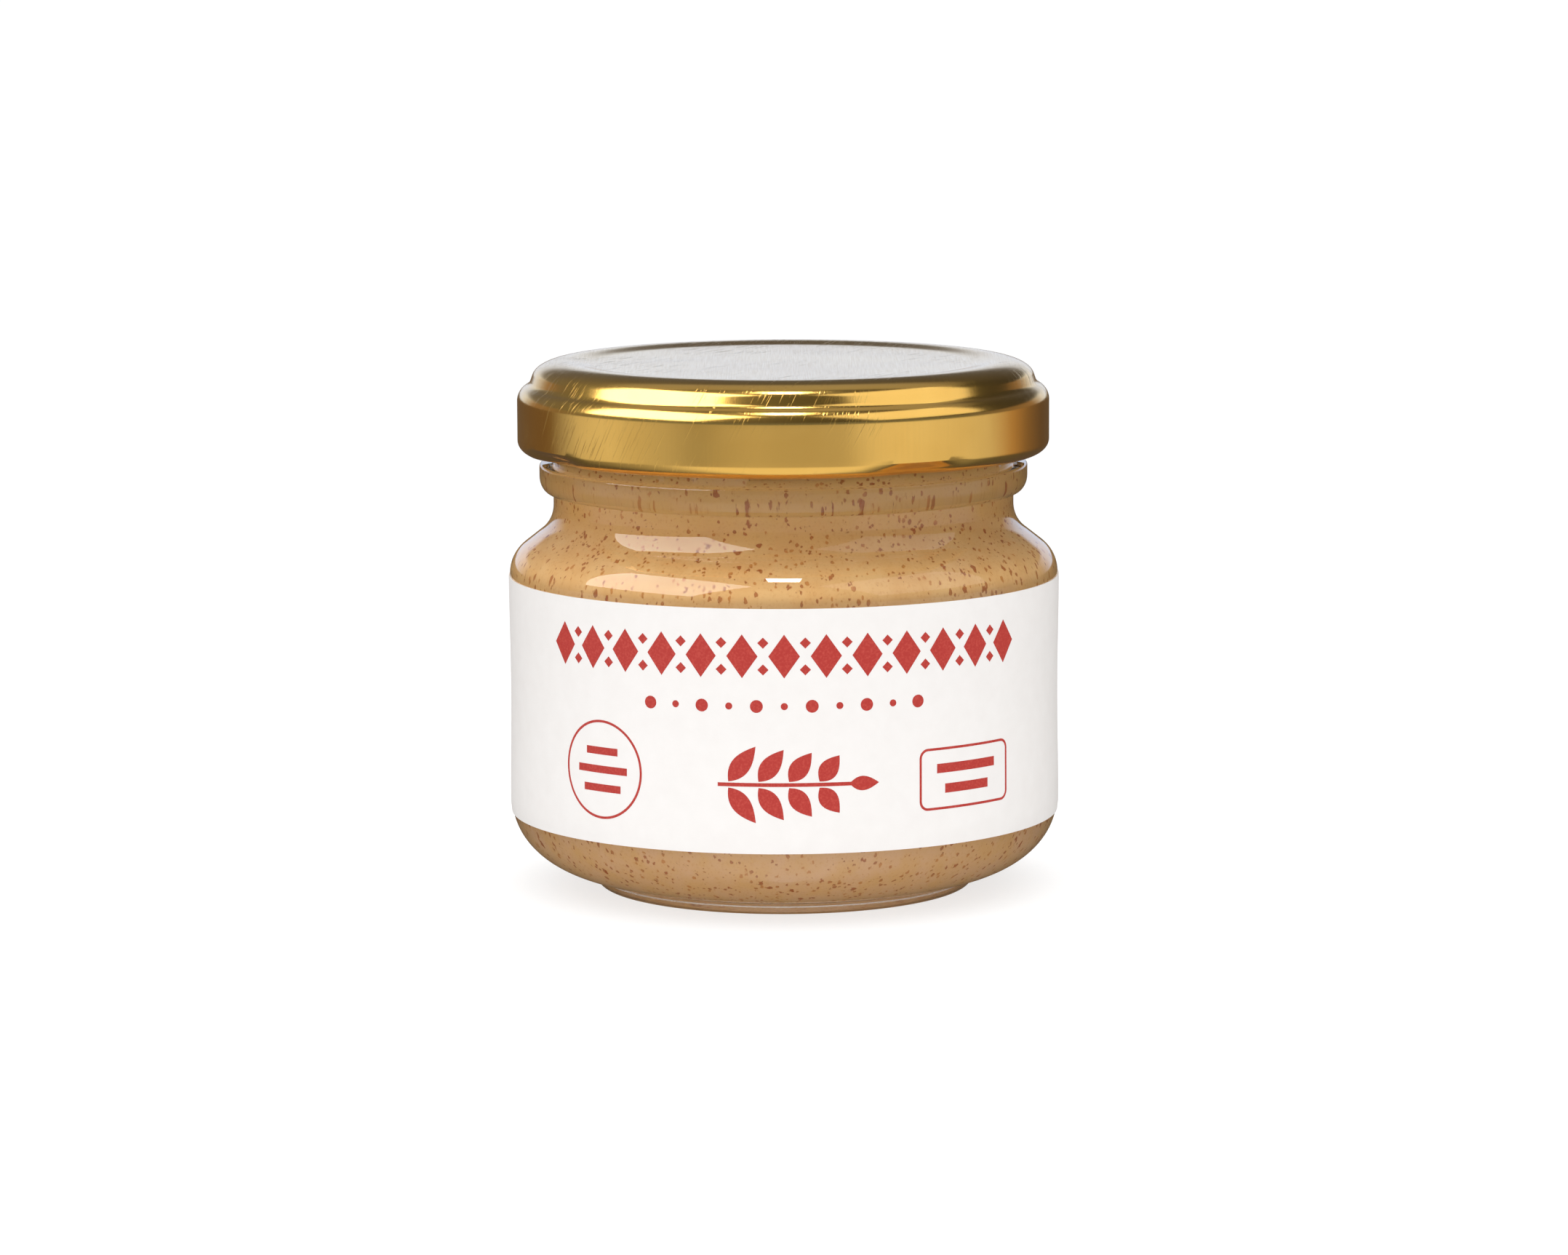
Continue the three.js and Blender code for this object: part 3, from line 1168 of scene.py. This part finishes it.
    def wrap(self, work: bmesh.types.BMesh) -> None:
        """Cuts the flat print into narrow strips and bends it round the label.

        Args:
            work: The flat print, with X along the label and Y up.
        """
        reach = max(abs(vert.co.x) for vert in work.verts)
        cuts = int(2.0 * reach / self.slice_width)
        for i in range(1, cuts):
            bmesh.ops.bisect_plane(
                work, geom=work.verts[:] + work.edges[:] + work.faces[:], dist=1e-5,
                plane_co=(-reach + 2.0 * reach * i / cuts, 0, 0), plane_no=(1, 0, 0),
            )
        for vert in work.verts:
            s, z = vert.co.x, vert.co.y
            radius = self.label.face_radius(z) + self.lift
            angle = s / radius
            vert.co = Vector((radius * math.sin(angle), -radius * math.cos(angle), z))

    def build(self) -> bpy.types.Object:
        """Draws the print flat, bends it round the label and gives it thickness.

        Returns:
            The finished piece.
        """
        work = bmesh.new()
        for draw in (self.frieze, self.dots, self.sprig, self.ring, self.rounded_box):
            draw(work)
        self.wrap(work)
        bmesh.ops.recalc_face_normals(work, faces=work.faces)
        for face in work.faces:
            outwards = Vector((*face.calc_center_median().xy, 0.0))
            if face.normal.dot(outwards) < 0.0:
                face.normal_flip()
        bmesh.ops.solidify(work, geom=work.faces[:], thickness=self.thickness)
        return finish_mesh(work, "label_print")


@dataclass(frozen=True)
class Softbox:
    """A rectangular studio light that faces the jar."""

    name: str
    azimuth: float
    elevation: float
    distance: float
    size: Point
    radiance: float
    target: tuple[float, float, float] = (0.0, 0.0, 0.045)

    def build(self) -> None:
        """Hangs the light where only shiny surfaces mirror it."""
        light = bpy.data.lights.new(self.name, "AREA")
        light.shape = "RECTANGLE"
        light.size = self.size[0]
        light.size_y = self.size[1]
        light.energy = self.radiance * math.pi * self.size[0] * self.size[1]
        lamp = bpy.data.objects.new(self.name, light)
        azimuth = math.radians(self.azimuth)
        elevation = math.radians(self.elevation)
        away = Vector((
            math.sin(azimuth) * math.cos(elevation),
            -math.cos(azimuth) * math.cos(elevation),
            math.sin(elevation),
        ))
        lamp.location = Vector(self.target) + away * self.distance
        lamp.rotation_euler = away.to_track_quat("Z", "Y").to_euler()
        lamp.visible_camera = False
        lamp.visible_diffuse = False
        lamp.visible_transmission = False
        bpy.context.scene.collection.objects.link(lamp)


@dataclass(frozen=True)
class Camera:
    """The photo's camera, which looks down on the jar from a little above it."""

    away: float = 0.6503
    height: float = 0.12136
    aim_z: float = 0.02977
    roll: float = -0.0039
    focal_px: float = 7773.8
    width_px: float = 2156.0
    sensor: float = 36.0

    def build(self) -> None:
        """Sets up the camera and makes it the scene's own."""
        data = bpy.data.cameras.new("photo_camera")
        data.sensor_width = self.sensor
        data.lens = self.focal_px * self.sensor / self.width_px
        data.clip_start = 0.01
        data.clip_end = 50.0
        camera = bpy.data.objects.new("photo_camera", data)
        camera.location = (0.0, -self.away, self.height)
        look = Vector((0.0, 0.0, self.aim_z)) - camera.location
        level = look.to_track_quat("-Z", "Y").to_matrix().to_4x4()
        turned = level @ Matrix.Rotation(self.roll, 4, "Z")
        camera.rotation_euler = turned.to_euler()
        bpy.context.scene.collection.objects.link(camera)
        bpy.context.scene.camera = camera


@dataclass
class Studio:
    """A plain pale floor under soft light, with the camera at the photo's place."""

    floor_radius: float = 6.0
    floor_colour: Colour = (0.3, 0.3, 0.3)
    floor_glow: Point = (0.72, 0.98)
    glow_reach: Point = (60.0, 420.0)
    # Painted light: the floor's glow as the jar sees it, bright in front and dim behind, in place of light
    # bounced off the table.
    painted_floor_bounce: Point = (0.85, 0.15)
    painted_bounce_reach: Point = (-45.0, 25.0)
    fade_reach: Point = (80.0, 420.0)
    faded: Colour = (0.02, 0.02, 0.02)
    backdrop: Colour = (0.98, 0.98, 0.98)
    fill: Point = (0.36, 2.15)
    fill_side: float = -0.07
    fill_front: float = 0.16
    upper_dark: Point = (0.17, 0.06)
    upper_back: float = 0.38
    wall_tint: Colour = (0.82, 0.96, 1.2)
    room_tint: Colour = (1.0, 0.68, 0.40)
    room_from: float = 112.0
    room_limit: float = 0.5
    table_z: Point = (-0.20, -0.34)
    wall_z: Point = (0.0, 0.02)
    upper_z: Point = (0.20, 0.25)
    high_z: Point = (0.62, 0.78)
    back_y: Point = (0.05, 0.30)
    side_x: Point = (-0.6, 0.6)
    softboxes: tuple[Softbox, ...] = (
        Softbox("left_softbox", -66.0, 42.0, 0.9, (0.95, 0.75), 4.8),
        Softbox("right_softbox", 68.0, 42.0, 0.9, (0.95, 0.75), 1.05),
        Softbox("overhead_strip", 0.0, 78.0, 0.8, (0.12, 0.20), 22.0),
    )
    low_ring: tuple[Point, ...] = (
        (-180, 0.13), (-119, 0.17), (-108, 0.42), (-98, 0.69), (-80, 0.80), (-64, 0.66), (-50, 0.54),
        (-37, 0.40), (-24, 0.54), (-12, 0.60), (0, 0.56), (26, 0.56), (39, 0.86), (52, 0.93), (82, 0.82),
        (100, 0.70), (116, 0.48), (130, 0.24), (148, 0.12), (180, 0.12),
    )
    table_ring: tuple[Point, ...] = (
        (-180, 0.10), (-110, 0.12), (-60, 0.45), (-35, 1.0), (35, 1.0), (60, 0.45), (110, 0.12), (180, 0.10),
    )
    wall_ring: tuple[Point, ...] = (
        (-180, 1.02), (-155, 1.02), (-138, 0.3), (-80, 0.2), (80, 0.2), (138, 0.3), (155, 1.02), (180, 1.02),
    )

    def floor(self) -> None:
        """Lays the floor, which looks paler to the camera than to the jar; to the jar it glows with painted
        light, bright in front and dim behind.
        """
        work = bmesh.new()
        bmesh.ops.create_circle(work, cap_ends=True, radius=self.floor_radius / MM, segments=96)
        piece = finish_mesh(work, "pale_floor")
        shader = Shader("pale_floor")
        place_mm = shader.millimetres()
        length = shader.add("ShaderNodeVectorMath", operation="LENGTH")
        shader.tree.links.new(place_mm, length.inputs[0])
        away = length.outputs["Value"]
        mottle = shader.noise(place_mm, 0.02, 2.0)
        paper = shader.blend(mottle, self.floor_colour, tuple(0.98 * c for c in self.floor_colour))
        fade = shader.remap(away, self.fade_reach, smooth=True)
        colour = shader.blend(fade, paper, self.faded)
        glow = shader.remap(away, self.glow_reach, self.floor_glow, smooth=True)
        # Painted light: the floor glows for every ray but the camera's, bright in front of the jar and dim
        # behind it.
        bounce = shader.remap(
            shader.split(place_mm)["Y"], self.painted_bounce_reach, self.painted_floor_bounce, smooth=True
        )
        rays = shader.add("ShaderNodeLightPath").outputs
        glow = shader.blend(rays["Is Camera Ray"], bounce, glow)
        shader.feed(
            shader.surface, Base_Color=colour, Roughness=0.9, Specular_IOR_Level=0.0,
            Emission_Color=(1.0, 1.0, 1.0, 1.0), Emission_Strength=glow,
        )
        piece.data.materials.append(shader.material)
        piece.visible_glossy = False

    def ring(
        self, graph: Graph, turn_share: bpy.types.NodeSocket, stops: tuple[Point, ...],
        tint: Colour = (1.0, 1.0, 1.0),
    ) -> bpy.types.NodeSocket:
        """Makes a ring of brightness round the set.

        Args:
            graph: The world's nodes.
            turn_share: Direction round the set, as a share of a turn from the back.
            stops: Azimuth in degrees from the front to the right, and the brightness there.
            tint: Colour of the light.

        Returns:
            A colour socket.
        """
        ramp = graph.feed(graph.add("ShaderNodeValToRGB"), Fac=turn_share)
        elements = ramp.color_ramp.elements
        elements.remove(elements[1])
        for i, (azimuth, brightness) in enumerate(stops):
            position = (azimuth + 180.0) / 360.0
            element = elements[0] if i == 0 else elements.new(position)
            element.position = position
            in_room = abs(azimuth) > self.room_from and brightness < self.room_limit
            shade = self.room_tint if in_room else tint
            element.color = (*(brightness * c for c in shade), 1.0)
        return ramp.outputs["Color"]

    def world(self) -> None:
        """Surrounds the set: a pale backdrop, an even fill and what shiny surfaces mirror."""
        world = bpy.data.worlds.new("studio_walls")
        world.use_nodes = True
        world.cycles.sampling_method = "NONE"
        bpy.context.scene.world = world
        graph = Graph(world.node_tree)
        direction = graph.add("ShaderNodeTexCoord").outputs["Generated"]
        x, y, z = graph.split(direction)
        azimuth = graph.maths("ARCTAN2", x, graph.maths("MULTIPLY", y, -1.0))
        turn_share = graph.remap(azimuth, (-math.pi, math.pi))
        low = self.ring(graph, turn_share, self.low_ring)
        table = self.ring(graph, turn_share, self.table_ring)
        wall = self.ring(graph, turn_share, self.wall_ring, self.wall_tint)
        below = graph.blend(graph.remap(z, self.table_z), low, table)
        around = graph.blend(graph.remap(z, self.wall_z), below, wall)
        upper = graph.remap(x, self.side_x, self.upper_dark)
        high = graph.remap(z, self.high_z, smooth=True)
        back = graph.remap(y, self.back_y, (0.0, self.upper_back), smooth=True)
        upper = graph.maths("MAXIMUM", upper, graph.maths("MULTIPLY", high, back))
        mirrored = graph.blend(graph.remap(z, self.upper_z), around, upper)
        side = graph.maths("MULTIPLY", x, self.fill_side)
        front = graph.maths("MULTIPLY", y, -self.fill_front)
        level = graph.remap(z, (0.0, 1.0), self.fill)
        fill = graph.maths("ADD", level, graph.maths("ADD", side, front))
        rays = graph.add("ShaderNodeLightPath").outputs
        diffused = graph.maths("GREATER_THAN", rays["Diffuse Depth"], 0.5)
        lit = graph.blend(diffused, mirrored, fill)
        seen = graph.blend(rays["Is Camera Ray"], lit, self.backdrop)
        graph.feed(world.node_tree.nodes["Background"], Color=seen)

    def build(self) -> None:
        """Lays the floor, hangs the lights and sets up the camera."""
        Camera().build()
        self.floor()
        self.world()
        for softbox in self.softboxes:
            softbox.build()
        bpy.context.scene.view_settings.view_transform = "Standard"


def main() -> None:
    """Builds and dresses the pieces in order, then the studio round them."""
    logging.basicConfig(level=logging.INFO)
    body_radius, _, rim_top = node_reach(Node.JAR)
    jar = GlassJar(body_radius, rim_top)
    label = Label(jar, *node_reach(Node.LABEL)[1:])
    assemblies = (
        (jar, Slot.GLASS, (Node.JAR,)),
        (PeanutButter(jar, node_reach(Node.BUTTER)[2]), Slot.BUTTER, (Node.BUTTER,)),
        (Lid(*node_reach(Node.LID)), Slot.LID, (Node.LID,)),
        (label, Slot.LABEL, (Node.LABEL,)),
        (LabelPrint(label), Slot.LABEL, ()),
    )
    for assembly, slot, nodes in assemblies:
        piece = assembly.build()
        assembly.dress(piece)
        place(piece, slot, *nodes)
    Studio().build()


if __name__ == "__main__":
    main()
